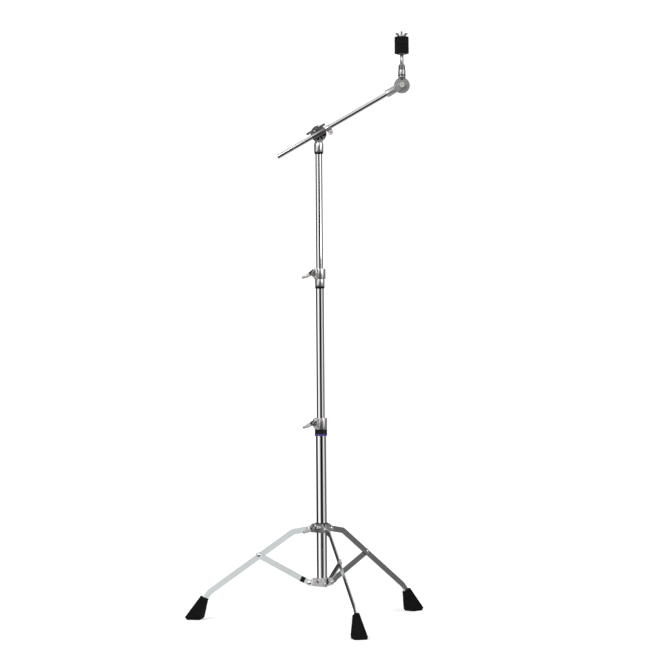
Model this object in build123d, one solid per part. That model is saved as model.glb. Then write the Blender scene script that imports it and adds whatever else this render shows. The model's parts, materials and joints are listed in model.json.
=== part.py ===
from build123d import *
import math
import os

# Cymbal boom stand, millimetres. The origin is on the floor under the axis of the
# upright tubes, +Z is up and the boom rises towards +X. The legs stand at three
# azimuths, counted anticlockwise from +X as seen from above.

# ---------------------------------------------------------------- driving dimensions
LEG_AZIMUTHS = (165.0, 285.0, 45.0)
CLAMP_AZIMUTH = 225.0
PLATE_AZIMUTHS = (225.0, 345.0, 105.0)

RUNNING = 0.05  # radial clearance of sliding and turning fits
GAP = 0.2  # gap between flat pieces that move past each other

# upright tubes
BASE_R, BASE_BORE = 14.3, 12.8
MIDDLE_R, MIDDLE_BORE = 11.1, 9.9
UPPER_R, UPPER_BORE = 9.55, 8.35
BASE_BOTTOM, BASE_TOP = 101.0, 543.0
MIDDLE_BOTTOM, MIDDLE_TOP = 400.0, 955.0
UPPER_BOTTOM, UPPER_TOP = 800.0, 1318.0
PLUG_LENGTH = 16.0

# folding leg linkage: equal links, so that the collar travels straight up the tube
PIVOT_R = 36.0
BRACKET_PIVOT_Z = 108.5
COLLAR_PIVOT_Z = 257.5
MID_PIVOT_R = 181.0
MID_PIVOT_Z = (BRACKET_PIVOT_Z + COLLAR_PIVOT_Z) / 2
RIVET_R, RIVET_HEAD_R, RIVET_HEAD_H = 3.0, 5.2, 2.2

# leg and brace straps
STRAP_WIDTH, STRAP_THICKNESS = 16.0, 3.0
LEG_LINE = [(PIVOT_R, COLLAR_PIVOT_Z), (83.0, 249.0), (325.0, 77.8), (356.0, 40.8)]
LEG_BEND_R = 22.0
BRACE_LENGTH = math.hypot(MID_PIVOT_R - PIVOT_R, MID_PIVOT_Z - BRACKET_PIVOT_Z)
BRACE_SLOPE = math.degrees(math.atan2(MID_PIVOT_Z - BRACKET_PIVOT_Z, MID_PIVOT_R - PIVOT_R))
BRACE_SIDE = STRAP_THICKNESS + GAP
JOG_START, JOG_END = 15.0, 27.0

# pressed plates of the collar and of the bottom bracket
PLATE_THICKNESS = 2.4
EAR_SIDE = STRAP_THICKNESS / 2 + GAP + PLATE_THICKNESS / 2
EAR_END_R = PIVOT_R + 8.0
COLLAR_BOTTOM, COLLAR_TOP = 248.5, 273.0
COLLAR_BUSH_R, COLLAR_RIM_R = 15.6, 17.8
COLLAR_PLATE_D = COLLAR_BUSH_R + PLATE_THICKNESS / 2
COLLAR_BOLT_Z, COLLAR_NUT_LENGTH = 260.8, 9.0
COLLAR_BOLT_SEAT = COLLAR_PLATE_D + PLATE_THICKNESS / 2 + COLLAR_NUT_LENGTH + GAP
BRACKET_BOTTOM, BRACKET_TOP = 100.0, 122.5
BRACKET_PLATE_D = BASE_R + PLATE_THICKNESS / 2

# rubber feet
FOOT_TOP, FOOT_BOTTOM_HALF, FOOT_TOP_HALF = 66.0, 17.0, 5.6
FOOT_OUTLINE = [(352, 0), (387, 0), (393.5, 7.5), (350.5, 66.5), (331.0, 57.5), (346.5, 6)]

# wing bolts of the collar and of the two height clamps
BOLT_R, HUB_R, HUB_LENGTH = 4.0, 6.2, 12.0
WING_TILT, WING_MIDDLE, WING_HALF_DEPTH = 25.0, 13.5, 4.6
WING_CHORD_R, WING_SPAN_R = 16.5, 230.0  # roundness of the wings' faces across and along the span

# height clamps
BASE_CLAMP_R, BASE_CLAMP_BOTTOM, BASE_CLAMP_TOP = 17.3, 532.6, 564.0
BASE_CLAMP_BOLT_Z, BASE_BOSS_REACH = 549.5, 24.2
RING_BOTTOM, RING_TOP = 515.0, 520.0
UPPER_CLAMP_R, UPPER_CLAMP_BOTTOM, UPPER_CLAMP_TOP = 16.0, 947.4, 975.4
UPPER_CLAMP_BOLT_Z, UPPER_BOSS_REACH = 962.0, 23.2
FERRULE_R, FERRULE_BOTTOM = 13.2, 927.2
LIP_BOTTOM, LINER_R = 920.6, 12.0

# boom tilter
TILT_Z, BOOM_SLOPE, BOOM_Y = 1347.0, 29.6, -21.0
SOCKET_R, SOCKET_BOTTOM, SOCKET_TOP = 12.9, 1297.3, 1321.9
SOCKET_LIP_BOTTOM = 1291.2
DISC_R, DISC_FRONT, DISC_BACK = 22.0, -9.0, -1.0
JAW_R, JAW_CHORD, JAW_BULGE_R = 21.5, -8.6, 9.5
JAW_SPLIT = 0.8
JAW_FRONT = -27.5
PIVOT_BOSS_R, PIVOT_SCREW_HEAD_R = 7.0, 9.0
CLAMP_BOLT_W, CLAMP_BOLT_R = 16.0, 3.0
SLOT_HALF = CLAMP_BOLT_R + GAP
TILT_UP, TILT_DOWN = 55.0, 60.0
POCKET_ANGLES = (219.0, 262.0, 305.0, 348.0)
POCKET_INNER, POCKET_OUTER = 9.8, 17.6
JAW_SCREWS = ((-6.9, 11.0), (9.6, 16.2))  # along and across the boom, from the tilt axis
JAW_SCREW_R, JAW_SCREW_HEAD_R = 1.2, 2.4

# boom and what it carries; positions along it are counted from the tilt axis
BOOM_R, BOOM_BORE = 6.35, 5.15
BOOM_START, BOOM_END = -130.5, 239.0
MEMORY_U, MEMORY_LENGTH, MEMORY_SCREW_W = 30.3, 13.0, -14.6
HEAD_U = 264.5
SLEEVE_R, SLEEVE_START, LAP_START = 10.3, 216.0, 241.4
HEAD_DISC_R, HEAD_DISC_T = 22.0, 8.4

# cymbal rod, heights above the floor
HEAD_X = HEAD_U * math.cos(math.radians(BOOM_SLOPE))
HEAD_Z = TILT_Z + HEAD_U * math.sin(math.radians(BOOM_SLOPE))
POST_BOTTOM = HEAD_Z + 22.4
RING_SEAT, HOLDER_BOTTOM, HOLDER_STEP, HOLDER_TOP = 1503.0, 1505.5, 1519.0, 1535.6
SEAT_Z = 1562.0
FELT_R, FELT_BORE, FELT_SLEEVE_R = 20.4, 5.4, 5.1
FELT_BOTTOM, FELT_SPLIT, FELT_TOP = 1564.0, 1587.2, 1610.8
ROD_SHOULDER_R, ROD_R, ROD_TOP = 5.0, 3.0, 1626.0
SLEEVE_TOP = 1603.5

BOTTOM = (Align.CENTER, Align.CENTER, Align.MIN)


# ---------------------------------------------------------------- shape helpers
def rod(radius, bottom, top):
    return Pos(0, 0, bottom) * Cylinder(radius, top - bottom, align=BOTTOM)


def tube(radius, bore, bottom, top):
    return rod(radius, bottom, top) - rod(bore, bottom, top)


def turned(points):
    """A body turned about Z from its half section, given as (radius, height) points."""
    outline = Polyline(*[(r, 0, z) for r, z in points], close=True)
    return revolve(make_face(outline), Axis.Z)


def plate_xz(sketch, front, back):
    """A sketch drawn in the XZ plane, as a plate from y = front to y = back."""
    return extrude(Plane.XZ.offset(-back) * sketch, amount=back - front)


def polygon(points):
    return make_face(Polyline(*points, close=True))


def rod_y(radius, front, back, x=0.0, z=0.0):
    return Pos(x, back, z) * Rot(90, 0, 0) * Cylinder(radius, back - front, align=BOTTOM)


def rod_x(radius, start, end, y=0.0, z=0.0):
    return Pos(start, y, z) * Rot(0, 90, 0) * Cylinder(radius, end - start, align=BOTTOM)


def at_azimuth(shape, azimuth):
    return Rot(0, 0, azimuth) * shape


def cut_by(shape, *tools):
    for tool in tools:
        shape = shape - tool
    return shape


def domed_rivet(front, back, x, z):
    """A rivet along Y whose heads sit outside the faces y = front and y = back."""
    body = rod_y(RIVET_R, front, back, x, z)
    for face, way in ((front, -1), (back, 1)):
        ball_r = (RIVET_HEAD_R**2 + RIVET_HEAD_H**2) / (2 * RIVET_HEAD_H)
        ball = Pos(x, face + way * (RIVET_HEAD_H - ball_r), z) * Sphere(ball_r)
        half = Pos(x, face + way * 10, z) * Box(30, 20, 30)
        body = body + (ball & half)
    return body


# ---------------------------------------------------------------- legs
def leg_strap():
    side = SlotArc(FilletPolyline(*LEG_LINE, radius=LEG_BEND_R), STRAP_WIDTH)
    return plate_xz(side, -STRAP_THICKNESS / 2, STRAP_THICKNESS / 2)


def leg():
    mid_hole = rod_y(RIVET_R, -5, 5, MID_PIVOT_R, MID_PIVOT_Z)
    top_hole = rod_y(RIVET_R + RUNNING, -5, 5, PIVOT_R, COLLAR_PIVOT_Z)
    return cut_by(leg_strap(), mid_hole, top_hole)


def brace():
    """The brace runs beside its leg and steps sideways to reach the bottom bracket."""
    side = SlotCenterToCenter(BRACE_LENGTH, STRAP_WIDTH)
    face_on = plate_xz(Pos(BRACE_LENGTH / 2, 0) * side, -10, 10)
    reach = STRAP_WIDTH
    line = Polyline(
        (-reach, 0), (JOG_START, 0), (JOG_END, BRACE_SIDE), (BRACE_LENGTH + reach, BRACE_SIDE)
    )
    edge_on = extrude(SlotArc(line, STRAP_THICKNESS), amount=STRAP_WIDTH, both=True)
    strap = face_on & edge_on
    for position in (0, BRACE_LENGTH):
        strap = strap - rod_y(RIVET_R + RUNNING, -10, 10, position)
    return Pos(PIVOT_R, 0, BRACKET_PIVOT_Z) * Rot(0, -BRACE_SLOPE, 0) * strap


def leg_rivet():
    outer = BRACE_SIDE + STRAP_THICKNESS / 2 + GAP / 2
    return domed_rivet(-STRAP_THICKNESS / 2, outer, MID_PIVOT_R, MID_PIVOT_Z)


def rubber_foot():
    side = plate_xz(polygon(FOOT_OUTLINE), -25, 25)
    widths = [
        (-FOOT_BOTTOM_HALF, 0),
        (FOOT_BOTTOM_HALF, 0),
        (FOOT_BOTTOM_HALF, 9),
        (FOOT_TOP_HALF, FOOT_TOP + 2),
        (-FOOT_TOP_HALF, FOOT_TOP + 2),
        (-FOOT_BOTTOM_HALF, 9),
    ]
    front = extrude(Plane.YZ.offset(320) * polygon(widths), amount=90)
    foot = side & front
    foot = foot - outer_grooves() - inner_grooves() - sole_tread()
    return foot - leg_strap()


def grooves(start, end, count, radius):
    """Round grooves across the foot, spread evenly along one edge of its side view."""
    cutters = Part()
    for i in range(count):
        share = (i + 0.5) / count
        x = start[0] + share * (end[0] - start[0])
        z = start[1] + share * (end[1] - start[1])
        cutters = cutters + rod_y(radius, -25, 25, x, z)
    return cutters


def outer_grooves():
    return grooves((351.5, 66.0), (391.5, 11.0), 14, 1.1)


def inner_grooves():
    return grooves((331.8, 54.5), (338.0, 34.0), 4, 1.2)


def sole_tread():
    cutters = Part()
    for x in (359.0, 368.0, 377.0):
        cutters = cutters + Pos(x, 0, 0) * Box(2.4, 24, 2.4)
    return cutters


def ear_side_view(pivot_z, bottom, top):
    """Side view of an ear: full height near the tube, round about its rivet."""
    body = polygon([(0, bottom), (26, bottom), (PIVOT_R, pivot_z - 8), (PIVOT_R, pivot_z + 8),
                    (26, top), (0, top)])
    return body + Pos(PIVOT_R, pivot_z) * Circle(8)


def pressed_plate(distance, pivot_z, bottom, top):
    """One third of a collar: a flat plate bent out at both ends into a rivet ear.

    It is drawn with its flat across +X, between legs at +60 and -60 degrees.
    """
    half = math.radians(60)

    def ear_point(radius):
        x = radius * math.cos(half) + EAR_SIDE * math.sin(half)
        y = radius * math.sin(half) - EAR_SIDE * math.cos(half)
        return x, y

    corner_r = (distance - EAR_SIDE * math.sin(half)) / math.cos(half)
    end, corner = ear_point(EAR_END_R), ear_point(corner_r)
    points = [(end[0], -end[1]), (corner[0], -corner[1]), corner, end]
    bent = SlotArc(FilletPolyline(*points, radius=3.5), PLATE_THICKNESS)
    plate = Pos(0, 0, bottom) * extrude(bent, amount=top - bottom)
    view = ear_side_view(pivot_z, bottom, top)
    room = Pos(32, (bottom + top) / 2) * Rectangle(36, 2 * (top - bottom))
    waste = plate_xz(room - view, -8, 8)
    hole = rod_y(RIVET_R, -8, 8, PIVOT_R, pivot_z)
    for angle in (60, -60):
        plate = plate - at_azimuth(waste, angle) - at_azimuth(hole, angle)
    return plate


def ear_rivet(pivot_z):
    side = EAR_SIDE + PLATE_THICKNESS / 2
    return domed_rivet(-side, side, PIVOT_R, pivot_z)


def leg_collar_plates():
    plate = pressed_plate(COLLAR_PLATE_D, COLLAR_PIVOT_Z, COLLAR_BOTTOM, COLLAR_TOP)
    plates = [at_azimuth(plate, azimuth) for azimuth in PLATE_AZIMUTHS]
    hole = at_azimuth(rod_x(BOLT_R + RUNNING, 10, 40, z=COLLAR_BOLT_Z), CLAMP_AZIMUTH)
    plates[0] = plates[0] - hole
    return plates


def bottom_bracket_plates():
    plate = pressed_plate(BRACKET_PLATE_D, BRACKET_PIVOT_Z, BRACKET_BOTTOM, BRACKET_TOP)
    plate = plate - rod_x(2.0, 5, 30, z=BRACKET_TOP - 8)
    return [at_azimuth(plate, azimuth) for azimuth in PLATE_AZIMUTHS]


def bracket_screw():
    """A pan-head screw that holds a bracket plate to the tube."""
    face = BASE_R + PLATE_THICKNESS
    height = BRACKET_TOP - 8
    screw = rod_x(2.0, BASE_BORE, face, z=height) + rod_x(3.6, face, face + 2.0, z=height)
    recess = Pos(face + 2.0, 0, height) * (Box(2, 4.2, 0.9) + Box(2, 0.9, 4.2))
    return screw - recess


def leg_collar_bush():
    """Nylon bush that slides on the base tube, with a low rim above the plates."""
    bore = BASE_R + RUNNING
    sleeve = tube(COLLAR_BUSH_R, bore, COLLAR_BOTTOM + 1, COLLAR_TOP)
    rim = tube(COLLAR_RIM_R, bore, COLLAR_TOP, COLLAR_TOP + 2.2)
    return sleeve + rim


def base_tube():
    """Main tube, drilled for the three screws of the bottom bracket."""
    body = tube(BASE_R, BASE_BORE, BASE_BOTTOM, BASE_TOP)
    for azimuth in PLATE_AZIMUTHS:
        body = body - at_azimuth(rod_x(2.0, 5, 30, z=BRACKET_TOP - 8), azimuth)
    return body


# ---------------------------------------------------------------- wing bolts
def wing_outline(start):
    """Half butterfly in plan: x is along the bolt, y is along the span."""
    inner = Spline((start + 3, -0.01), (start + 5, 7), (start + 10, 17), (start + 17, 25))
    tip = ThreePointArc((start + 17, 25), (start + 21.5, 27), (start + 23.5, 23.5))
    outer = Spline((start + 23.5, 23.5), (start + 21, 14), (start + 17.5, 6), (start + 16, -0.01))
    return make_face([inner, tip, outer, Line((start + 16, -0.01), (start + 3, -0.01))])


def wing_bolt(tip, seat, height, radius=BOLT_R):
    """A wing bolt along +X: shank from tip to seat, hub and two leaf-shaped wings, tilted."""
    shank = rod_x(radius, tip, seat)
    hub = rod_x(HUB_R, seat, seat + HUB_LENGTH)
    half = wing_outline(seat)
    outline = half + mirror(half, Plane.XZ)
    wings = extrude(outline, amount=WING_HALF_DEPTH + 1, both=True)
    for side in (-1, 1):
        chord_z = side * (WING_CHORD_R - WING_HALF_DEPTH)
        span_z = side * (WING_SPAN_R - WING_HALF_DEPTH)
        wings = wings & rod_y(WING_CHORD_R, -40, 40, seat + WING_MIDDLE, chord_z)
        wings = wings & rod_x(WING_SPAN_R, seat - 10, seat + 40, z=span_z)
    head = hub + Rot(WING_TILT, 0, 0) * wings
    return at_azimuth(Pos(0, 0, height) * (shank + head), CLAMP_AZIMUTH)


def leg_collar_nut():
    """Long hexagon nut welded on the collar plate, in which the wing bolt turns."""
    face = COLLAR_PLATE_D + PLATE_THICKNESS / 2
    hexagon = extrude(Plane.YZ.offset(face) * RegularPolygon(7.2, 6), amount=COLLAR_NUT_LENGTH)
    nut = hexagon - rod_x(BOLT_R + RUNNING, 10, 40)
    return at_azimuth(Pos(0, 0, COLLAR_BOLT_Z) * nut, PLATE_AZIMUTHS[0])


# ---------------------------------------------------------------- height clamps
def clamp_body(radius, bottom, top, reach, bolt_z):
    """A cast clamp: a round body and a boss for the wing bolt, sloping underneath."""
    half = 8.0
    section = [
        (0, top), (reach, top - 1.5), (reach, bolt_z - 7.5), (radius - 1, bottom + 1), (0, bottom + 1),
    ]
    boss = plate_xz(polygon(section), -half, half)
    upright = boss.edges().filter_by(Axis.Z).group_by(Axis.X)[-1]
    boss = fillet(upright, 3.0)
    body = rod(radius, bottom, top) + boss
    return body - rod_x(BOLT_R + RUNNING, 0, reach + 5, z=bolt_z)


def base_clamp_body():
    body = clamp_body(
        BASE_CLAMP_R, BASE_CLAMP_BOTTOM, BASE_CLAMP_TOP, BASE_BOSS_REACH, BASE_CLAMP_BOLT_Z
    )
    seat = rod(BASE_R, BASE_CLAMP_BOTTOM, BASE_CLAMP_TOP - 1.5)
    mouth = rod(MIDDLE_R + 1.1, BASE_TOP, BASE_CLAMP_TOP)
    return at_azimuth(body - seat - mouth, CLAMP_AZIMUTH)


def base_clamp_insert():
    """Nylon insert on the end of the base tube; the middle tube slides in it."""
    bore = MIDDLE_R + RUNNING
    collar = tube(BASE_R, bore, BASE_TOP, BASE_CLAMP_TOP - 1.5)
    skirt = tube(BASE_BORE, bore, BASE_TOP - 22, BASE_TOP)
    slit = Pos(-13, 0, BASE_TOP + 10) * Box(8, 1.2, 24)
    return at_azimuth(collar + skirt - slit, CLAMP_AZIMUTH)


def base_clamp_bushing():
    """Black ribbed collar under the clamp body."""
    body = tube(BASE_CLAMP_R - 0.1, BASE_R, RING_TOP, BASE_CLAMP_BOTTOM)
    for height in (RING_TOP + 3.2, RING_TOP + 6.3, RING_TOP + 9.4):
        body = body - tube(BASE_CLAMP_R + 1, BASE_CLAMP_R - 0.7, height - 0.5, height + 0.5)
    return body


def base_clamp_ring():
    return tube(BASE_CLAMP_R - 0.1, BASE_R, RING_BOTTOM, RING_TOP)


def upper_clamp_body():
    body = clamp_body(
        UPPER_CLAMP_R, UPPER_CLAMP_BOTTOM, UPPER_CLAMP_TOP, UPPER_BOSS_REACH, UPPER_CLAMP_BOLT_Z
    )
    seat = rod(MIDDLE_R, UPPER_CLAMP_BOTTOM, UPPER_CLAMP_TOP - 1.4)
    mouth = rod(UPPER_R + 0.9, MIDDLE_TOP, UPPER_CLAMP_TOP)
    return at_azimuth(body - seat - mouth, CLAMP_AZIMUTH)


def upper_clamp_insert():
    insert = tube(MIDDLE_R, UPPER_R + RUNNING, MIDDLE_TOP, UPPER_CLAMP_TOP - 1.4)
    slit = Pos(-10.5, 0, MIDDLE_TOP + 9) * Box(4, 1.2, 20)
    return at_azimuth(insert - slit, CLAMP_AZIMUTH)


def upper_clamp_ferrule():
    return tube(FERRULE_R, LINER_R, FERRULE_BOTTOM, UPPER_CLAMP_BOTTOM)


def upper_clamp_liner():
    """Black liner between tube and ferrule, ending in a tapered lip."""
    bore = MIDDLE_R
    return turned([
        (bore, LIP_BOTTOM), (bore + 0.9, LIP_BOTTOM), (FERRULE_R, FERRULE_BOTTOM - 2),
        (FERRULE_R, FERRULE_BOTTOM), (LINER_R, FERRULE_BOTTOM),
        (LINER_R, UPPER_CLAMP_BOTTOM), (bore, UPPER_CLAMP_BOTTOM),
    ])


def end_plug(outer, bottom, pin):
    """Nylon guide on the foot of a sliding tube: a collar below it and a spigot inside."""
    collar = rod(outer, bottom - PLUG_LENGTH, bottom - GAP)
    spigot = rod(pin - RUNNING, bottom - GAP, bottom + PLUG_LENGTH)
    return collar + spigot - rod(pin - 3, bottom - PLUG_LENGTH, bottom + PLUG_LENGTH)


# ---------------------------------------------------------------- boom tilter
def in_tilter(shape):
    """From the tilter's frame (X along the boom, origin on the tilt axis) to the stand."""
    return Pos(0, 0, TILT_Z) * Rot(0, -BOOM_SLOPE, 0) * shape


def tilter_lip():
    return turned([
        (UPPER_R, SOCKET_LIP_BOTTOM), (UPPER_R + 0.9, SOCKET_LIP_BOTTOM),
        (SOCKET_R - 0.2, SOCKET_BOTTOM - 1.5), (SOCKET_R - 0.2, SOCKET_BOTTOM), (UPPER_R, SOCKET_BOTTOM),
    ])


def tilter_socket():
    return tube(SOCKET_R, UPPER_R, SOCKET_BOTTOM, SOCKET_TOP)


def tilter_base():
    """Casting: a spigot in the tube, a waist, and the fixed disc that the boom turns against."""
    spigot = rod(UPPER_BORE, 1300, SOCKET_TOP) + rod(UPPER_R, UPPER_TOP, SOCKET_TOP)
    waist_top = SOCKET_TOP + 2.6
    waist = rod(10.6, SOCKET_TOP, waist_top)
    middle_y = (DISC_FRONT + DISC_BACK) / 2
    depth = DISC_BACK - DISC_FRONT - 0.8
    top_face = Plane.XY.offset(TILT_Z - 14) * Pos(0, middle_y) * Rectangle(22, depth)
    low_face = Plane.XY.offset(waist_top) * Circle(11.4)
    neck = loft([low_face.face(), top_face.face()])
    disc = rod_y(DISC_R, DISC_FRONT, DISC_BACK, z=TILT_Z)
    body = spigot + waist + neck + disc
    body = body - rod_y(PIVOT_BOSS_R, -30, 30, z=TILT_Z)
    swept = Pos(0, DISC_FRONT - 15, TILT_Z) * Box(60, 30, 2 * (TILT_Z - waist_top))
    body = body - swept
    return body - clamp_bolt_slot() - disc_pockets()


def clamp_bolt_slot():
    """Arc slot in which the clamp bolt travels as the boom tilts."""
    rest = 90 + BOOM_SLOPE
    arc = CenterArc((0, TILT_Z), CLAMP_BOLT_W, rest - TILT_DOWN, TILT_DOWN + TILT_UP)
    return plate_xz(SlotArc(arc, 2 * SLOT_HALF), -12, 2)


def disc_pockets():
    """Recesses between the radial ribs of the fixed disc."""
    half = math.radians(11.5)
    corners = []
    for radius, way in ((POCKET_INNER, -1), (POCKET_OUTER, -1), (POCKET_OUTER, 1), (POCKET_INNER, 1)):
        corners.append((radius * math.cos(half), way * radius * math.sin(half)))
    pocket = plate_xz(polygon(corners), DISC_FRONT - 1, DISC_FRONT + 5)
    pockets = Part()
    for angle in POCKET_ANGLES:
        pockets = pockets + Pos(0, 0, TILT_Z) * Rot(0, -angle, 0) * pocket
    return pockets


def jaw_outline():
    depth = 40.0
    return Circle(JAW_R) - Pos(0, JAW_CHORD - depth / 2) * Rectangle(2 * depth, depth)


def boom_jaw_back():
    """Inner half of the boom clamp, with the stub that turns in the fixed disc."""
    face = BOOM_Y + JAW_SPLIT / 2
    jaw = plate_xz(jaw_outline(), face, DISC_FRONT - 0.15)
    stub = rod_y(PIVOT_BOSS_R - RUNNING, DISC_FRONT - 0.2, DISC_BACK)
    jaw = jaw + stub
    jaw = cut_by(
        jaw,
        rod_x(BOOM_R + RUNNING, -40, 40, y=BOOM_Y),
        rod_y(CLAMP_BOLT_R + 0.1, -40, 10, z=CLAMP_BOLT_W),
        rod_y(3.0, DISC_BACK - 10, DISC_BACK),
    )
    return in_tilter(jaw)


def boom_jaw_front():
    """Outer half of the boom clamp: a flat cheek, a bulge over the boom and a bolt boss."""
    face = BOOM_Y - JAW_SPLIT / 2
    cheek = plate_xz(jaw_outline(), JAW_FRONT, face)
    bulge = rod_x(JAW_BULGE_R, -JAW_R - 1, JAW_R + 1, y=BOOM_Y) & plate_xz(jaw_outline(), -40, face)
    boss = plate_xz(Pos(0, CLAMP_BOLT_W - 1.2) * RegularPolygon(5.4, 6), JAW_FRONT - 3.5, JAW_FRONT)
    heel = plate_xz(Pos(0, JAW_CHORD + 1) * Rectangle(30, 2), face, face + JAW_SPLIT)
    jaw = cheek + bulge + boss + heel
    jaw = cut_by(
        jaw,
        rod_x(BOOM_R + RUNNING, -40, 40, y=BOOM_Y),
        rod_y(CLAMP_BOLT_R + RUNNING, -60, 10, z=CLAMP_BOLT_W),
    )
    for along, across in JAW_SCREWS:
        jaw = jaw - rod_y(JAW_SCREW_R, JAW_FRONT, JAW_FRONT + 4, along, across)
    return in_tilter(jaw)


def jaw_screws():
    """Two small domed screws in the outer jaw, one each side of the clamp bolt."""
    head = Pos(0, JAW_FRONT, 0) * Sphere(JAW_SCREW_HEAD_R) & Pos(0, JAW_FRONT - 5, 0) * Box(9, 10, 9)
    screw = head + rod_y(JAW_SCREW_R, JAW_FRONT, JAW_FRONT + 4)
    return [in_tilter(Pos(along, 0, across) * screw) for along, across in JAW_SCREWS]


def tilter_pivot_screw():
    """Shouldered screw that holds the turning half on the fixed disc."""
    head = rod_y(PIVOT_SCREW_HEAD_R, DISC_BACK + 0.1, DISC_BACK + 3)
    shank = rod_y(3.0, DISC_BACK - 10, DISC_BACK + 0.1)
    recess = plate_xz(RegularPolygon(2.9, 6), DISC_BACK + 1, DISC_BACK + 4)
    return in_tilter(head + shank - recess)


def boom_clamp_washer():
    washer = rod_y(5.8, DISC_BACK + 0.1, DISC_BACK + 1.2) - rod_y(CLAMP_BOLT_R + 0.1, -5, 5)
    return in_tilter(Pos(0, 0, CLAMP_BOLT_W) * washer)


def boom_clamp_bolt():
    """T-handled bolt that closes the jaws on the boom and locks the tilt."""
    seat = DISC_BACK + 1.3
    shank = rod_y(CLAMP_BOLT_R, JAW_FRONT - 3, seat)
    hub = rod_y(6.0, seat, seat + 12)
    bar = SlotCenterToCenter(53, 6.6) + Circle(6.0)
    handle = plate_xz(bar, seat + 4.5, seat + 12.5)
    return in_tilter(Pos(0, 0, CLAMP_BOLT_W) * (shank + hub + handle))


# ---------------------------------------------------------------- boom
def on_boom(shape):
    """From the boom's frame (X along the boom's axis) to the stand."""
    return in_tilter(Pos(0, BOOM_Y, 0) * shape)


def boom():
    return on_boom(rod_x(BOOM_R, BOOM_START, BOOM_END) - rod_x(BOOM_BORE, BOOM_START - 1, BOOM_END + 1))


def boom_end_plug():
    """Plug set a little way inside the lower end of the boom."""
    plug = rod_x(BOOM_BORE - RUNNING, BOOM_START + 5, BOOM_START + 17)
    return on_boom(plug - rod_x(1.6, BOOM_START, BOOM_START + 20))


def memory_clamp_band():
    """Steel band of the stop clamp, round the boom and open below."""
    half = MEMORY_LENGTH / 2
    band = rod_x(BOOM_R + 1.3, MEMORY_U - half, MEMORY_U + half)
    band = band - rod_x(BOOM_R + RUNNING, 0, 60)
    return on_boom(band - Pos(MEMORY_U, 0, -7) * Box(20, 2.0, 6))


def memory_clamp_block():
    """Block under the boom that carries the stop clamp's key screw."""
    half = MEMORY_LENGTH / 2
    neck = Pos(MEMORY_U, -10.5) * Rectangle(MEMORY_LENGTH, 9)
    eye = Pos(MEMORY_U, MEMORY_SCREW_W) * Circle(half)
    block = plate_xz(neck + eye, -6.5, 6.5)
    block = block - rod_x(BOOM_R + 1.3, 0, 60)
    return on_boom(block - rod_y(2.5 + RUNNING, -10, 10, MEMORY_U, MEMORY_SCREW_W))


def memory_clamp_screw():
    head = rod_y(7.2, -10.5, -6.6) - plate_xz(RegularPolygon(3.0, 4), -12, -8.3)
    screw = head + rod_y(2.5, -6.6, 7.5)
    return on_boom(Pos(MEMORY_U, 0, MEMORY_SCREW_W) * screw)


def cymbal_tilter_arm():
    """Sleeve on the end of the boom, halved into a tongue in front of the disc."""
    sleeve = rod_x(SLEEVE_R, SLEEVE_START, LAP_START)
    length = HEAD_U - LAP_START
    tongue_plan = polygon([
        (LAP_START, -SLEEVE_R), (HEAD_U, -7.6), (HEAD_U, 7.6), (LAP_START, SLEEVE_R),
    ]) + Pos(HEAD_U, 0) * Circle(7.6)
    front = plate_xz(tongue_plan, -SLEEVE_R, -0.1)
    tongue = front & rod_x(SLEEVE_R, LAP_START, HEAD_U + 20)
    shaved = Pos(HEAD_U, -SLEEVE_R, 0) * Box(2 * length + 20, 3.6, 40)
    arm = sleeve + (tongue - shaved)
    arm = cut_by(
        arm,
        rod_x(BOOM_R, SLEEVE_START - 1, BOOM_END),
        rod_y(3.0, -20, 5, HEAD_U),
    )
    return on_boom(arm)


def in_head(shape):
    """From the cymbal tilter's frame (origin on its screw, upright) to the stand."""
    return Pos(HEAD_X, BOOM_Y, HEAD_Z) * shape


def cymbal_tilter_disc():
    disc = rod_y(HEAD_DISC_R, 0.1, HEAD_DISC_T)
    disc = chamfer(disc.edges().filter_by(GeomType.CIRCLE), 1.2)
    low = POST_BOTTOM - HEAD_Z
    high = RING_SEAT - HEAD_Z
    post = rod(10.0, low, high)
    web = (rod(10.0, 16, low) & Pos(0, 10.1, 0) * Box(30, 20, 200))
    body = disc + post + web
    body = body - rod_y(3.1, -5, 20) - rod(ROD_R, low - 8, high)
    return in_head(body)


def cymbal_tilter_bolt():
    """Bolt through tongue and disc; its round head is recessed for a hexagon key."""
    front = -SLEEVE_R + 1.8
    head = rod_y(6.6, front - 3.2, front) - plate_xz(RegularPolygon(3.0, 6), front - 4, front - 0.8)
    shank = rod_y(3.0, front, HEAD_DISC_T + 14)
    return in_head(head + shank)


def cymbal_tilter_wing_nut():
    seat = HEAD_DISC_T + 0.4
    hub = rod_y(5.6, seat, seat + 9)
    half = polygon([(-0.1, 0), (5, 0), (9.5, 5), (17.5, 13), (14, 15.5), (4.5, 9), (-0.1, 9)])
    ears = half + mirror(half, Plane.YZ)
    blade = Pos(0, seat, -1.7) * extrude(ears, amount=3.4)
    nut = hub + Rot(0, -BOOM_SLOPE, 0) * blade
    return in_head(nut - rod_y(ROD_R + RUNNING, 0, 40))


# ---------------------------------------------------------------- cymbal rod and seat
def rod_holder_ring():
    return Pos(HEAD_X, BOOM_Y, 0) * tube(10.9, ROD_R, RING_SEAT, HOLDER_BOTTOM)


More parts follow.
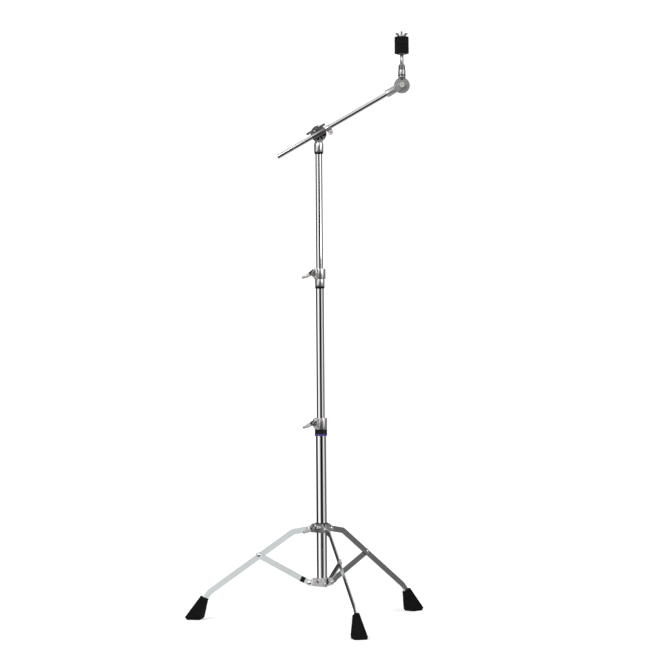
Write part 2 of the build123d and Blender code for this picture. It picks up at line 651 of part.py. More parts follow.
def rod_holder():
    """Stepped socket for the rod: a round foot and a chamfered hexagon above."""
    foot = rod(10.2, HOLDER_BOTTOM, HOLDER_STEP)
    hexagon = extrude(Plane.XY.offset(HOLDER_STEP) * RegularPolygon(9.6, 6), amount=HOLDER_TOP - HOLDER_STEP)
    hexagon = hexagon & turned([
        (0, HOLDER_STEP), (9.4, HOLDER_STEP), (9.4, HOLDER_TOP - 5), (6.4, HOLDER_TOP), (0, HOLDER_TOP),
    ])
    holder = foot + hexagon
    step = holder.edges().filter_by(GeomType.CIRCLE).group_by(Axis.Z)[0]
    holder = chamfer(step, 0.8)
    socket = rod(ROD_SHOULDER_R, HOLDER_BOTTOM + 8, HOLDER_TOP)
    thread = rod(ROD_R, HOLDER_BOTTOM, HOLDER_TOP)
    return Pos(HEAD_X, BOOM_Y, 0) * (holder - socket - thread)


def cymbal_rod():
    """Rod with a shoulder for the seat washer, screwed into the tilter's post."""
    tail = rod(ROD_R, POST_BOTTOM - 6, HOLDER_BOTTOM + 8)
    shoulder = rod(ROD_SHOULDER_R, HOLDER_BOTTOM + 8, SEAT_Z)
    bevel = 0.8
    neck = rod(ROD_R, SEAT_Z, ROD_TOP - bevel)
    tip = Pos(0, 0, ROD_TOP - bevel) * Cone(ROD_R, ROD_R - bevel, bevel, align=BOTTOM)
    return Pos(HEAD_X, BOOM_Y, 0) * (tail + shoulder + neck + tip)


def seat_washer():
    return Pos(HEAD_X, BOOM_Y, 0) * tube(13.0, ROD_R, SEAT_Z, FELT_BOTTOM - 0.1)


def cymbal_sleeve():
    return Pos(HEAD_X, BOOM_Y, 0) * tube(FELT_SLEEVE_R, ROD_R, FELT_BOTTOM - 0.1, SLEEVE_TOP)


def felt(bottom, top):
    pad = rod(FELT_R, bottom, top)
    pad = fillet(pad.edges().filter_by(GeomType.CIRCLE), 1.6)
    return Pos(HEAD_X, BOOM_Y, 0) * (pad - rod(FELT_BORE, bottom, top))


def cymbal_wing_nut():
    """Wing nut on the rod's tip: a low hub and two upright ears."""
    low = FELT_TOP + 0.05
    hub = turned([(0, low), (7.6, low), (6.6, low + 3.6), (0, low + 3.6)])
    ear = polygon([
        (5, low), (9.5, low), (17.4, low + 8.5), (15.6, low + 10.4), (9.4, low + 10.4),
        (7.6, low + 7.5), (4, low + 3.4),
    ])
    ears = plate_xz(ear, -1.7, 1.7)
    ears = ears + mirror(ears, Plane.YZ)
    return Pos(HEAD_X, BOOM_Y, 0) * (hub + ears - rod(ROD_R + RUNNING, low - 1, low + 20))


# ---------------------------------------------------------------- the whole stand
def height_parts():
    return {
        "base_tube": base_tube(),
        "base_clamp_ring": base_clamp_ring(),
        "base_clamp_bushing": base_clamp_bushing(),
        "base_clamp_body": base_clamp_body(),
        "base_clamp_insert": base_clamp_insert(),
        "base_clamp_wing_bolt": wing_bolt(BASE_R + 0.1, BASE_BOSS_REACH + 0.2, BASE_CLAMP_BOLT_Z),
        "middle_tube": tube(MIDDLE_R, MIDDLE_BORE, MIDDLE_BOTTOM, MIDDLE_TOP),
        "middle_tube_plug": end_plug(BASE_BORE - RUNNING, MIDDLE_BOTTOM, MIDDLE_BORE),
        "upper_clamp_liner": upper_clamp_liner(),
        "upper_clamp_ferrule": upper_clamp_ferrule(),
        "upper_clamp_body": upper_clamp_body(),
        "upper_clamp_insert": upper_clamp_insert(),
        "upper_clamp_wing_bolt": wing_bolt(MIDDLE_R + 0.1, UPPER_BOSS_REACH + 0.2, UPPER_CLAMP_BOLT_Z),
        "upper_tube": tube(UPPER_R, UPPER_BORE, UPPER_BOTTOM, UPPER_TOP),
        "upper_tube_plug": end_plug(MIDDLE_BORE - RUNNING, UPPER_BOTTOM, UPPER_BORE),
    }


def leg_parts():
    parts = {
        "bottom_bracket_plates": Compound(bottom_bracket_plates()),
        "bracket_screws": Compound([at_azimuth(bracket_screw(), a) for a in PLATE_AZIMUTHS]),
        "bracket_rivets": Compound([at_azimuth(ear_rivet(BRACKET_PIVOT_Z), a) for a in LEG_AZIMUTHS]),
        "leg_collar_plates": Compound([*leg_collar_plates(), leg_collar_nut()]),
        "leg_collar_rivets": Compound([at_azimuth(ear_rivet(COLLAR_PIVOT_Z), a) for a in LEG_AZIMUTHS]),
        "leg_collar_bush": leg_collar_bush(),
        "leg_collar_wing_bolt": wing_bolt(COLLAR_BUSH_R + 0.1, COLLAR_BOLT_SEAT, COLLAR_BOLT_Z),
    }
    pieces = {"leg": leg(), "brace": brace(), "leg_rivet": leg_rivet(), "rubber_foot": rubber_foot()}
    for number, azimuth in enumerate(LEG_AZIMUTHS, start=1):
        for name, piece in pieces.items():
            parts[f"{name}_{number}"] = at_azimuth(piece, azimuth)
    return parts


def boom_parts():
    return {
        "tilter_lip": tilter_lip(),
        "tilter_socket": tilter_socket(),
        "tilter_base": tilter_base(),
        "boom_jaw_back": boom_jaw_back(),
        "boom_jaw_front": boom_jaw_front(),
        "jaw_screws": Compound(jaw_screws()),
        "tilter_pivot_screw": tilter_pivot_screw(),
        "boom_clamp_washer": boom_clamp_washer(),
        "boom_clamp_bolt": boom_clamp_bolt(),
        "boom": boom(),
        "boom_end_plug": boom_end_plug(),
        "memory_clamp_band": memory_clamp_band(),
        "memory_clamp_block": memory_clamp_block(),
        "memory_clamp_screw": memory_clamp_screw(),
    }


def head_parts():
    return {
        "cymbal_tilter_arm": cymbal_tilter_arm(),
        "cymbal_tilter_disc": cymbal_tilter_disc(),
        "cymbal_tilter_bolt": cymbal_tilter_bolt(),
        "cymbal_tilter_wing_nut": cymbal_tilter_wing_nut(),
        "rod_holder_ring": rod_holder_ring(),
        "rod_holder": rod_holder(),
        "cymbal_rod": cymbal_rod(),
        "seat_washer": seat_washer(),
        "cymbal_sleeve": cymbal_sleeve(),
        "lower_felt": felt(FELT_BOTTOM, FELT_SPLIT),
        "upper_felt": felt(FELT_SPLIT + 0.3, FELT_TOP),
        "cymbal_wing_nut": cymbal_wing_nut(),
    }


os.makedirs("parts", exist_ok=True)
stand = {**height_parts(), **leg_parts(), **boom_parts(), **head_parts()}
for name, shape in stand.items():
    export_step(shape, f"parts/{name}.step")
print(len(stand), "nodes")
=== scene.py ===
"""Looks of the cymbal boom stand: plated metal, nylon, rubber, felt, threads, studio and camera."""
import json
import math

import bmesh
import bpy
from mathutils import Matrix, Vector, noise as mathnoise


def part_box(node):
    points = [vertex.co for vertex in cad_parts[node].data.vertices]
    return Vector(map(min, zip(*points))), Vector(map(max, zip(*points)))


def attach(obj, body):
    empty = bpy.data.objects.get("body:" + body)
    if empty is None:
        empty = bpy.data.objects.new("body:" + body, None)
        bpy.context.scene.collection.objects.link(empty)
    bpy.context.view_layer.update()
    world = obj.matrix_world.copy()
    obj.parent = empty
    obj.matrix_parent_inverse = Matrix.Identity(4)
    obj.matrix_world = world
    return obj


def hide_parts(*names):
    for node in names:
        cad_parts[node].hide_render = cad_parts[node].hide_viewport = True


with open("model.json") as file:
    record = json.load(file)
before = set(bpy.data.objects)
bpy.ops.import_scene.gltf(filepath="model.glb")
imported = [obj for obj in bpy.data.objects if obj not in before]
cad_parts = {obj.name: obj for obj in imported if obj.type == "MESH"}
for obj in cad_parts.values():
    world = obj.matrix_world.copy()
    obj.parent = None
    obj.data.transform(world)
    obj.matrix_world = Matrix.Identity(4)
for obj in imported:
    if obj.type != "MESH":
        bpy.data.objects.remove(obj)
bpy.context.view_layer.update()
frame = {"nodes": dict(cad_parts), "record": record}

MM = 0.001
scene = bpy.context.scene

# ------------------------------------------------------------------ camera
CAMERA_DISTANCE = 6.597
CAMERA_HEIGHT = 0.818
# degrees: yaw to the right, pitch downwards, roll anticlockwise
CAMERA_YAW, CAMERA_PITCH, CAMERA_ROLL = 0.235, 0.1, -0.45
CAMERA_LENS, CAMERA_SENSOR = 130.5, 36.0

# ------------------------------------------------------------------ cymbal seat, millimetres
FELT_BORE = 5.4
FELT_ROOM = 0.12  # the fuzz stays inside the space of the CAD solid by this much
FELT_LAYER, FELT_LAYER_PITCH = 0.18, 6.5
FELT_LUMP, FELT_FUZZ = 0.30, 0.16
FELT_CORNER, FELT_STEP, FELT_SINK, FELT_SINK_DEPTH = 1.5, 0.55, 0.10, 1.5
FELT_SEGMENTS, ROD_SEGMENTS, CORNER_STEPS = 180, 48, 6
ROD_R, ROD_SHOULDER_R, ROD_SOCKET = 3.0, 5.0, 8.0
ROD_CHAMFER, ROD_TIP, ROD_AXIS_R = 0.6, 0.8, 0.02
THREAD_PITCH, THREAD_DEPTH, THREAD_END = 1.0, 0.5, 0.1
THREAD_STEPS = 8  # rings for each turn of the thread

# ------------------------------------------------------------------ studio
FLOOR_FADE, FLOOR_RADIUS = 0.4, 1.0  # the paper fades out between these distances
STUDIO_LIGHT = 1.2
# what polished metal sees round the horizon: (degrees from the camera towards +X, brightness)
STUDIO_BANDS = [
    (-180, 0.10), (-140, 0.02), (-84, 0.01), (-74, 0.85), (-58, 1.00), (-45, 0.92), (-34, 0.75),
    (-26, 0.60), (-18, 0.15), (-12, 0.03), (-8, 0.007), (24, 0.007), (30, 0.07), (38, 0.30), (48, 0.60),
    (58, 0.84), (66, 0.88), (74, 0.40), (80, 0.14), (98, 0.12), (125, 0.17), (180, 0.12),
]
WARM_FROM, WARM_TINT = 74, (1.05, 1.0, 0.975)  # the bands from this azimuth on are slightly warm
# and above and below them: brightness in front of the stand and behind it
CEILING_FRONT, CEILING_BACK = 0.66, 0.34
GROUND_FRONT, GROUND_BACK, GROUND_NEAR = 0.015, 0.42, 0.55
# where one part of the studio gives way to the next, as components of the direction looked in
FRONT_TO_BACK = (-0.15, 0.40)
WALLS_TO_CEILING, WALLS_TO_GROUND, GROUND_TO_NEAR = (0.14, 0.34), (-0.14, -0.30), (-0.72, -0.90)
# (name, place, point it faces, size, power): metres and watts
SOFTBOXES = (
    ("key", (-1.6, -2.2, 2.6), (0.0, 0.0, 0.8), (1.2, 1.2), 40.0),
    ("fill", (1.8, -1.6, 1.8), (0.0, 0.0, 0.6), (1.0, 1.6), 15.0),
)


# ------------------------------------------------------------------ node helpers
def surface(name, **constants):
    """A new material; the constants are set on its shader's own sockets."""
    material = bpy.data.materials.new(name)
    material.use_nodes = True
    tree = material.node_tree
    shader = tree.nodes["Principled BSDF"]
    for socket, value in constants.items():
        shader.inputs[socket.replace("_", " ")].default_value = value
    return material, tree, shader


def place(tree, stretch=(1.0, 1.0, 1.0)):
    """Coordinates fixed to the piece, in metres, squeezed or stretched along its axes."""
    coords = tree.nodes.new("ShaderNodeTexCoord")
    mapping = tree.nodes.new("ShaderNodeMapping")
    mapping.inputs["Scale"].default_value = stretch
    tree.links.new(coords.outputs["Object"], mapping.inputs["Vector"])
    return mapping.outputs["Vector"]


def noise(tree, scale, detail=4.0, stretch=(1.0, 1.0, 1.0), distortion=0.0):
    node = tree.nodes.new("ShaderNodeTexNoise")
    node.inputs["Scale"].default_value = scale
    node.inputs["Detail"].default_value = detail
    node.inputs["Distortion"].default_value = distortion
    tree.links.new(place(tree, stretch), node.inputs["Vector"])
    return node.outputs["Fac"]


def between(tree, factor, low, high, start=0.35, end=0.65):
    """Maps factor from start..end to low..high."""
    node = tree.nodes.new("ShaderNodeMapRange")
    for socket, value in zip(("From Min", "From Max", "To Min", "To Max"), (start, end, low, high)):
        node.inputs[socket].default_value = value
    tree.links.new(factor, node.inputs["Value"])
    return node.outputs["Result"]


def ramp(tree, factor, stops):
    """stops are (position, (red, green, blue)) pairs."""
    node = tree.nodes.new("ShaderNodeValToRGB")
    elements = node.color_ramp.elements
    while len(elements) < len(stops):
        elements.new(0.5)
    for element, (position, colour) in zip(elements, stops):
        element.position = position
        element.color = (*colour, 1.0)
    tree.links.new(factor, node.inputs["Fac"])
    return node.outputs["Color"]


def mix(tree, factor, first, second):
    node = tree.nodes.new("ShaderNodeMix")
    node.data_type = "RGBA"
    tree.links.new(factor, node.inputs["Factor"])
    for socket, value in ((node.inputs[6], first), (node.inputs[7], second)):
        if isinstance(value, tuple):
            socket.default_value = (*value, 1.0)
        else:
            tree.links.new(value, socket)
    return node.outputs[2]


def math_node(tree, operation, first, second):
    node = tree.nodes.new("ShaderNodeMath")
    node.operation = operation
    for socket, value in zip(node.inputs, (first, second)):
        if isinstance(value, float):
            socket.default_value = value
        else:
            tree.links.new(value, socket)
    return node.outputs["Value"]


def bump(tree, shader, height, distance, strength=1.0, below=None):
    node = tree.nodes.new("ShaderNodeBump")
    node.inputs["Strength"].default_value = strength
    node.inputs["Distance"].default_value = distance
    tree.links.new(height, node.inputs["Height"])
    if below is not None:
        tree.links.new(below, node.inputs["Normal"])
    tree.links.new(node.outputs["Normal"], shader.inputs["Normal"])
    return node.outputs["Normal"]


def edge_wear(tree, radius):
    """1 along convex and concave edges, 0 on flat ground."""
    bevel = tree.nodes.new("ShaderNodeBevel")
    bevel.samples = 4
    bevel.inputs["Radius"].default_value = radius
    geometry = tree.nodes.new("ShaderNodeNewGeometry")
    product = tree.nodes.new("ShaderNodeVectorMath")
    product.operation = "DOT_PRODUCT"
    tree.links.new(bevel.outputs["Normal"], product.inputs[0])
    tree.links.new(geometry.outputs["Normal"], product.inputs[1])
    return between(tree, product.outputs["Value"], 1.0, 0.0, 0.80, 0.995)


# ------------------------------------------------------------------ materials
def plated(name, tone, roughness, haze=0.05, casting=0.0, metal=1.0, pockets=0.0):
    """Chrome or nickel plating: haze where hands touch it, hairline scratches, worn edges.

    pockets is the width in millimetres below which a recess gets painted shade: an ambient occlusion mask
    darkens its colour towards black.
    """
    material, tree, shader = surface(name, Metallic=metal)
    cloud = noise(tree, 28.0, detail=6.0, distortion=0.4)
    marks = noise(tree, 420.0, detail=2.0, stretch=(1.0, 1.0, 0.06))
    dull = tuple(0.90 * c for c in tone)
    warm = tuple(c * k for c, k in zip(tone, (1.0, 0.985, 0.96)))
    clean = mix(tree, between(tree, cloud, 0.0, 1.0), tone, warm)
    colour = mix(tree, between(tree, marks, 0.0, 0.5, 0.55, 0.75), clean, dull)
    colour = mix(tree, edge_wear(tree, 0.5 * MM), colour, tuple(min(1.0, 1.08 * c) for c in tone))
    # painted shade: recesses narrower than pockets are darkened to near black by an ambient occlusion
    # mask
    if pockets:
        shade = tree.nodes.new("ShaderNodeAmbientOcclusion")
        shade.samples = 6
        shade.inputs["Distance"].default_value = pockets * MM
        painted_recess_shade = between(tree, shade.outputs["AO"], 1.0, 0.0, 0.45, 0.80)
        colour = mix(tree, painted_recess_shade, colour, (0.02, 0.02, 0.02))
    tree.links.new(colour, shader.inputs["Base Color"])
    gloss = math_node(tree, "ADD", between(tree, cloud, roughness, roughness + haze),
                      between(tree, marks, 0.0, 0.5 * haze, 0.5, 0.8))
    tree.links.new(gloss, shader.inputs["Roughness"])
    scratch = bump(tree, shader, marks, 0.004 * MM)
    if casting:
        bump(tree, shader, noise(tree, 160.0, detail=3.0), casting * MM, below=scratch)
    return material


def moulded(name, dark, light, roughness, grain=0.012, scale=2600.0, **constants):
    """Moulded plastic or rubber: fine pimples, uneven sheen and rubbed edges."""
    material, tree, shader = surface(name, **constants)
    patch = noise(tree, 60.0, detail=5.0)
    pimples = noise(tree, scale, detail=2.0)
    body = mix(tree, between(tree, patch, 0.0, 1.0), dark, light)
    rubbed = tuple(min(1.0, 1.9 * c + 0.012) for c in light)
    wear = math_node(tree, "MULTIPLY", edge_wear(tree, 0.6 * MM), between(tree, patch, 0.25, 0.9))
    tree.links.new(mix(tree, wear, body, rubbed), shader.inputs["Base Color"])
    tree.links.new(between(tree, patch, roughness - 0.06, roughness + 0.08), shader.inputs["Roughness"])
    bump(tree, shader, pimples, grain * MM)
    return material


def pressed_felt(name):
    """Wool felt: tangled fibres, lint and a soft sheen."""
    material, tree, shader = surface(name, Roughness=0.95, Specular_IOR_Level=0.15, Sheen_Weight=0.06,
                                     Sheen_Roughness=0.5)
    fibres = noise(tree, 2200.0, detail=6.0, stretch=(1.0, 1.0, 0.45), distortion=1.6)
    clumps = noise(tree, 420.0, detail=3.0)
    lint = noise(tree, 1500.0, detail=1.0, stretch=(1.0, 0.3, 1.0))
    wool = mix(tree, between(tree, clumps, 0.0, 1.0), (0.004, 0.0035, 0.0045), (0.011, 0.0095, 0.0115))
    dusty = mix(tree, between(tree, lint, 0.0, 0.5, 0.66, 0.80), wool, (0.06, 0.057, 0.062))
    tree.links.new(dusty, shader.inputs["Base Color"])
    soft = bump(tree, shader, clumps, 0.25 * MM)
    bump(tree, shader, fibres, 0.12 * MM, below=soft)
    return material


def make_materials():
    """One material for each material slot of the record, and five more finishes of plating."""
    return {
        "chrome_tube": plated("chrome_tube", (0.88, 0.875, 0.88), 0.03, haze=0.03),
        "chrome_strap": plated("chrome_strap", (0.73, 0.775, 0.795), 0.12, haze=0.04),
        "plated_pressing": plated("plated_pressing", (0.62, 0.62, 0.63), 0.24, haze=0.08, metal=0.9),
        "chrome_casting": plated("chrome_casting", (0.76, 0.75, 0.755), 0.19, casting=0.004, metal=0.9),
        "cast_wing": plated("cast_wing", (0.47, 0.465, 0.46), 0.20, casting=0.004),
        "dark_casting": plated("dark_casting", (0.20, 0.195, 0.205), 0.36, casting=0.01),
        # pockets: painted shade in the recesses of the toothed disc
        "base_casting": plated("base_casting", (0.66, 0.65, 0.665), 0.36, casting=0.008, metal=0.65,
                               pockets=5.0),
        # pockets: painted shade in the recesses of the pressings
        "satin_pressing": plated("satin_pressing", (0.80, 0.80, 0.81), 0.30, metal=0.6, pockets=2.5),
        "satin_casting": plated("satin_casting", (0.50, 0.495, 0.495), 0.30, haze=0.08, casting=0.006,
                                metal=0.7),
        "bright_fastener": plated("bright_fastener", (0.80, 0.79, 0.78), 0.20, haze=0.06),
        # pockets: painted shade in the hex recess of the screw heads
        "screw_head": plated("screw_head", (0.82, 0.80, 0.78), 0.34, metal=0.5, pockets=1.6),
        "satin_fastener": plated("satin_fastener", (0.40, 0.395, 0.395), 0.28, haze=0.08, metal=0.85),
        "black_plastic": moulded("black_plastic", (0.003, 0.003, 0.003), (0.007, 0.007, 0.008), 0.45,
                                 Specular_IOR_Level=0.3),
        "nylon": moulded("nylon", (0.62, 0.60, 0.55), (0.70, 0.68, 0.62), 0.42, Subsurface_Weight=0.15),
        "blue_plastic": moulded("blue_plastic", (0.042, 0.045, 0.23), (0.055, 0.057, 0.28), 0.28),
        "black_rubber": moulded("black_rubber", (0.003, 0.003, 0.003), (0.007, 0.006, 0.006), 0.66,
                                grain=0.03, scale=1500.0, Specular_IOR_Level=0.08),
        "black_felt": pressed_felt("black_felt"),
    }


# ------------------------------------------------------------------ carried-over CAD nodes
BEVELS = {  # millimetres, for each slot; the long chrome tubes have none
    "chrome_strap": 0.7, "plated_pressing": 0.5, "chrome_casting": 0.7, "dark_casting": 0.6,
    "satin_casting": 0.5, "bright_fastener": 0.5, "black_plastic": 0.35, "nylon": 0.3,
    "blue_plastic": 0.3, "black_rubber": 0.4,
}
WING_BOLTS = ("leg_collar_wing_bolt", "base_clamp_wing_bolt", "upper_clamp_wing_bolt")
WING_BEVEL = 1.2
FINISHES = {  # nodes whose plating differs from that of their slot
    "tilter_base": "base_casting", "boom_clamp_bolt": "satin_fastener", "seat_washer": "satin_fastener",
    "cymbal_wing_nut": "satin_fastener", "rod_holder": "satin_fastener",
    "cymbal_tilter_disc": "satin_casting", "cymbal_tilter_arm": "satin_casting",
    "cymbal_tilter_bolt": "screw_head", "memory_clamp_screw": "screw_head", "jaw_screws": "screw_head",
    "bottom_bracket_plates": "satin_pressing", **dict.fromkeys(WING_BOLTS, "cast_wing"),
}


def round_edges(piece, width):
    """Real rounded edges, on top of the CAD mesh."""
    weld = piece.modifiers.new("weld", "WELD")
    weld.merge_threshold = 0.002 * MM
    bevel = piece.modifiers.new("rounded edges", "BEVEL")
    bevel.width = width * MM
    bevel.segments = 3
    bevel.limit_method = "ANGLE"
    bevel.angle_limit = math.radians(35)
    bevel.harden_normals = True
    bevel.use_clamp_overlap = True


def dress_cad_nodes(materials):
    """Gives every carried-over CAD node its material, and rounded edges where its slot has a bevel width.
    """
    slots = {part["node"]: part["material_slot"] for part in frame["record"]["subparts"]}
    for name, piece in frame["nodes"].items():
        slot = slots[name]
        piece.data.materials.clear()
        piece.data.materials.append(materials[FINISHES.get(name, slot)])
        if slot in BEVELS:
            round_edges(piece, WING_BEVEL if name in WING_BOLTS else BEVELS[slot])


# ------------------------------------------------------------------ turned pieces
def lathe(name, rings, segments, shift=None):
    """A closed body turned about the upright line through the origin.

    rings are (radius, height) pairs that run round the section; shift moves each point (x, y, z).
    """
    shape = bmesh.new()
    loops = []
    for radius, height in rings:
        loop = []
        for i in range(segments):
            angle = math.tau * i / segments
            point = Vector((radius * math.cos(angle), radius * math.sin(angle), height))
            loop.append(shape.verts.new(shift(point) if shift else point))
        loops.append(loop)
    for low, high in zip(loops, loops[1:] + loops[:1]):
        for i in range(segments):
            k = (i + 1) % segments
            shape.faces.new((low[i], low[k], high[k], high[i]))
    bmesh.ops.recalc_face_normals(shape, faces=shape.faces)
    mesh = bpy.data.meshes.new(name)
    shape.to_mesh(mesh)
    shape.free()
    for face in mesh.polygons:
        face.use_smooth = True
    piece = bpy.data.objects.new(name, mesh)
    scene.collection.objects.link(piece)
    return piece


def rounded_section(outer, bore, height, corner, step):
    """Section of a pad from bore to rim: rounded outer corners, points about step apart."""
    def line(start, end):
        count = max(1, round((Vector(end) - Vector(start)).length / step))
        return [tuple(Vector(start).lerp(Vector(end), i / count)) for i in range(count)]

    def turn(centre_r, centre_z, first):
        angles = [math.radians(first + 90 * i / CORNER_STEPS) for i in range(CORNER_STEPS)]
        return [(centre_r + corner * math.cos(a), centre_z + corner * math.sin(a)) for a in angles]

    points = line((bore, 0.0), (outer - corner, 0.0))
    points += turn(outer - corner, corner, -90)
    points += line((outer, corner), (outer, height - corner))
    points += turn(outer - corner, height - corner, 0)
    points += line((outer - corner, height), (bore, height))
    points += line((bore, height), (bore, 0.0))
    return points


def felt(name, node, body, seed, materials):
    """A pressed felt washer: soft corners, squeezed layers, a fuzzy and slightly uneven surface."""
    low, high = (Vector(corner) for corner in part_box(node))
    outer, height = (high.x - low.x) / 2, high.z - low.z
    centre = Vector(((low.x + high.x) / 2, (low.y + high.y) / 2, low.z))
    bore, room = FELT_BORE * MM, FELT_ROOM * MM
    layer, lump, fluff = FELT_LAYER * MM, FELT_LUMP * MM, FELT_FUZZ * MM

    def ruffle(point):
        radial = Vector((point.x, point.y, 0.0))
        depth = radial.length
        way = radial / depth
        key = point + Vector((seed, 0.0, 0.0))
        wave = math.tau * point.z / (FELT_LAYER_PITCH * MM) + 4.0 * mathnoise.noise(key * 45)
        layers = layer * math.sin(wave)
        lumps = lump * mathnoise.noise(key * 160)
        fuzz = fluff * mathnoise.noise(key * 900)
        pull = layers - layer + lumps - lump + fuzz - fluff
        share = min(1.0, max(0.0, (depth - bore) / (outer - bore)))
        edge = min(point.z, height - point.z)
        face = max(0.0, 1 - edge / (FELT_SINK_DEPTH * MM))
        sink = (FELT_SINK * MM + 0.5 * abs(lumps) + abs(fuzz)) * face
        inward = sink if point.z < height / 2 else -sink
        return centre + point + way * (pull * share - room * share) + Vector((0.0, 0.0, inward))

    rings = rounded_section(outer, bore, height, FELT_CORNER * MM, FELT_STEP * MM)
    pad = lathe(name, rings, FELT_SEGMENTS, ruffle)
    pad.data.materials.append(materials["black_felt"])
    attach(pad, body)
    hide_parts(node)


def threaded_rod(materials):
    """The cymbal rod with the screw thread that its CAD solid leaves out."""
    low, high = (Vector(corner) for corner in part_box("cymbal_rod"))
    centre = Vector(((low.x + high.x) / 2, (low.y + high.y) / 2, 0.0))
    shoulder_r, rod_r = ROD_SHOULDER_R * MM, ROD_R * MM
    shoulder_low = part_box("rod_holder")[0][2] + ROD_SOCKET * MM
    shoulder_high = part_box("seat_washer")[0][2]
    thread_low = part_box("cymbal_sleeve")[1][2]
    pitch, tip, chamfer, axis_r = (size * MM for size in (THREAD_PITCH, ROD_TIP, ROD_CHAMFER, ROD_AXIS_R))
    rings = [(axis_r, low.z), (rod_r, low.z), (rod_r, shoulder_low), (shoulder_r, shoulder_low)]
    rings += [(shoulder_r, shoulder_high - chamfer), (shoulder_r - chamfer, shoulder_high)]
    rings += [(rod_r, shoulder_high), (rod_r, thread_low)]
    steps = int((high.z - tip - thread_low) / (pitch / THREAD_STEPS))
    rings += [(rod_r, thread_low + (i + 1) * pitch / THREAD_STEPS) for i in range(steps)]
    rings += [(rod_r - tip, high.z), (axis_r, high.z)]

    def cut_thread(point):
        if thread_low < point.z < high.z - THREAD_END * MM:
            radius = math.hypot(point.x, point.y)
            turns = (point.z - thread_low) / pitch - math.atan2(point.y, point.x) / math.tau
            groove = 1 - abs(2 * (turns % 1.0) - 1)
            runout = min(1.0, (point.z - thread_low) / pitch)
            shrink = 1 - THREAD_DEPTH * MM * groove * runout / radius
            point = Vector((point.x * shrink, point.y * shrink, point.z))
        return centre + point

    rod = lathe("cymbal_rod_threaded", rings, ROD_SEGMENTS, cut_thread)
    rod.data.materials.append(materials["satin_fastener"])
    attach(rod, "cymbal_head")
    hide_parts("cymbal_rod")


# ------------------------------------------------------------------ studio and camera
def studio_world():
    """Soft studio round the stand: bright walls, dark gaps between them, a light ceiling.

    Only reflections and light see it: the background itself is white.
    """
    world = bpy.data.worlds.new("studio")
    world.use_nodes = True
    scene.world = world
    tree = world.node_tree
    tree.nodes.clear()
    coords = tree.nodes.new("ShaderNodeTexCoord")
    split = tree.nodes.new("ShaderNodeSeparateXYZ")
    tree.links.new(coords.outputs["Generated"], split.inputs["Vector"])
    towards_camera = math_node(tree, "MULTIPLY", split.outputs["Y"], -1.0)
    azimuth = math_node(tree, "ARCTAN2", split.outputs["X"], towards_camera)
    turn = between(tree, azimuth, 0.0, 1.0, -math.pi, math.pi)
    stops = []
    for degrees, level in STUDIO_BANDS:
        tint = WARM_TINT if degrees >= WARM_FROM else (1.0, 1.0, 1.0)
        stops.append(((degrees + 180) / 360, tuple(level * channel for channel in tint)))
    walls = ramp(tree, turn, stops)
    behind = between(tree, split.outputs["Y"], 0.0, 1.0, *FRONT_TO_BACK)
    ceiling = mix(tree, behind, (CEILING_FRONT,) * 3, (CEILING_BACK,) * 3)
    ground = mix(tree, behind, (GROUND_FRONT,) * 3, (GROUND_BACK,) * 3)
    light = walls
    for change, level in ((WALLS_TO_CEILING, ceiling), (WALLS_TO_GROUND, ground),
                          (GROUND_TO_NEAR, (GROUND_NEAR,) * 3)):
        light = mix(tree, between(tree, split.outputs["Z"], 0.0, 1.0, *change), light, level)
    path = tree.nodes.new("ShaderNodeLightPath")
    shown = mix(tree, path.outputs["Is Camera Ray"], light, (1.0, 1.0, 1.0))
    background = tree.nodes.new("ShaderNodeBackground")
    background.inputs["Strength"].default_value = STUDIO_LIGHT
    output = tree.nodes.new("ShaderNodeOutputWorld")
    tree.links.new(shown, background.inputs["Color"])
    tree.links.new(background.outputs["Background"], output.inputs["Surface"])


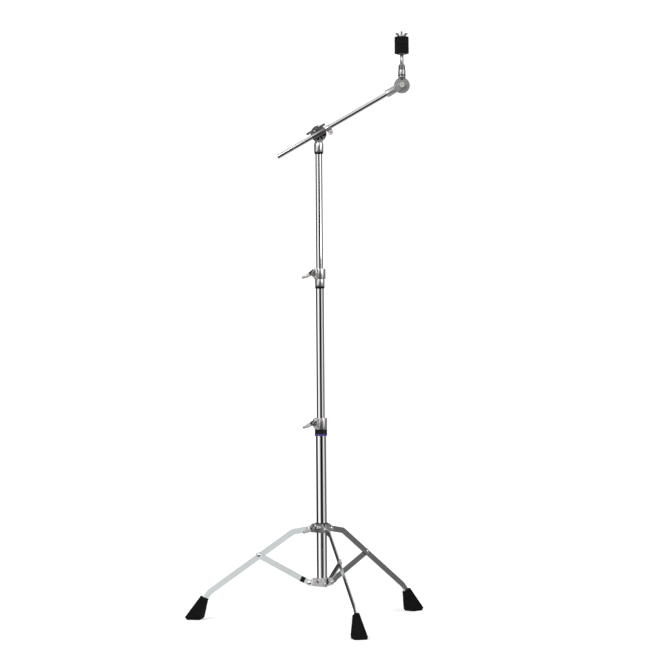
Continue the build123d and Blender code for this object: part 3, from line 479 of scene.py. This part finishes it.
def floor():
    """A disc of pale paper that fades into the white background."""
    mesh = bpy.data.meshes.new("floor")
    shape = bmesh.new()
    bmesh.ops.create_circle(shape, cap_ends=True, segments=128, radius=FLOOR_RADIUS)
    shape.to_mesh(mesh)
    shape.free()
    disc = bpy.data.objects.new("floor", mesh)
    scene.collection.objects.link(disc)
    disc.location.z = -0.2 * MM
    disc.visible_glossy = False
    material, tree, shader = surface("floor_paper", Roughness=0.9, Emission_Color=(1.0, 1.0, 1.0, 1.0),
                                     Emission_Strength=0.35)
    paper = noise(tree, 3.0, detail=2.0)
    tree.links.new(mix(tree, between(tree, paper, 0.0, 1.0), (0.90, 0.90, 0.90), (0.93, 0.93, 0.93)),
                   shader.inputs["Base Color"])
    distance = tree.nodes.new("ShaderNodeVectorMath")
    distance.operation = "LENGTH"
    tree.links.new(place(tree), distance.inputs[0])
    fade = between(tree, distance.outputs["Value"], 1.0, 0.0, FLOOR_FADE, FLOOR_RADIUS)
    tree.links.new(fade, shader.inputs["Alpha"])
    mesh.materials.append(material)


def softbox(name, place_at, look_at, size, power):
    """A rectangular lamp, unseen by the camera."""
    light = bpy.data.lights.new(name, "AREA")
    light.shape = "RECTANGLE"
    light.size, light.size_y = size
    light.energy = power
    lamp = bpy.data.objects.new(name, light)
    scene.collection.objects.link(lamp)
    lamp.location = place_at
    lamp.rotation_euler = (Vector(look_at) - Vector(place_at)).to_track_quat("-Z", "Y").to_euler()
    lamp.visible_camera = False


def camera():
    """The camera of the main view, in front of the stand."""
    data = bpy.data.cameras.new("camera")
    data.lens, data.sensor_width = CAMERA_LENS, CAMERA_SENSOR
    data.clip_end = 50.0
    eye = bpy.data.objects.new("camera", data)
    scene.collection.objects.link(eye)
    aim = Matrix.Rotation(-math.radians(CAMERA_YAW), 4, "Z")
    aim = aim @ Matrix.Rotation(math.radians(90 - CAMERA_PITCH), 4, "X")
    aim = aim @ Matrix.Rotation(math.radians(CAMERA_ROLL), 4, "Z")
    eye.matrix_world = Matrix.Translation((0.0, -CAMERA_DISTANCE, CAMERA_HEIGHT)) @ aim
    scene.camera = eye


materials = make_materials()
dress_cad_nodes(materials)
threaded_rod(materials)
felt("lower_felt_pad", "lower_felt", "cymbal_head", 0.3, materials)
felt("upper_felt_pad", "upper_felt", "top_felt", 1.7, materials)
studio_world()
floor()
for lamp in SOFTBOXES:
    softbox(*lamp)
camera()
scene.view_settings.view_transform = "Standard"
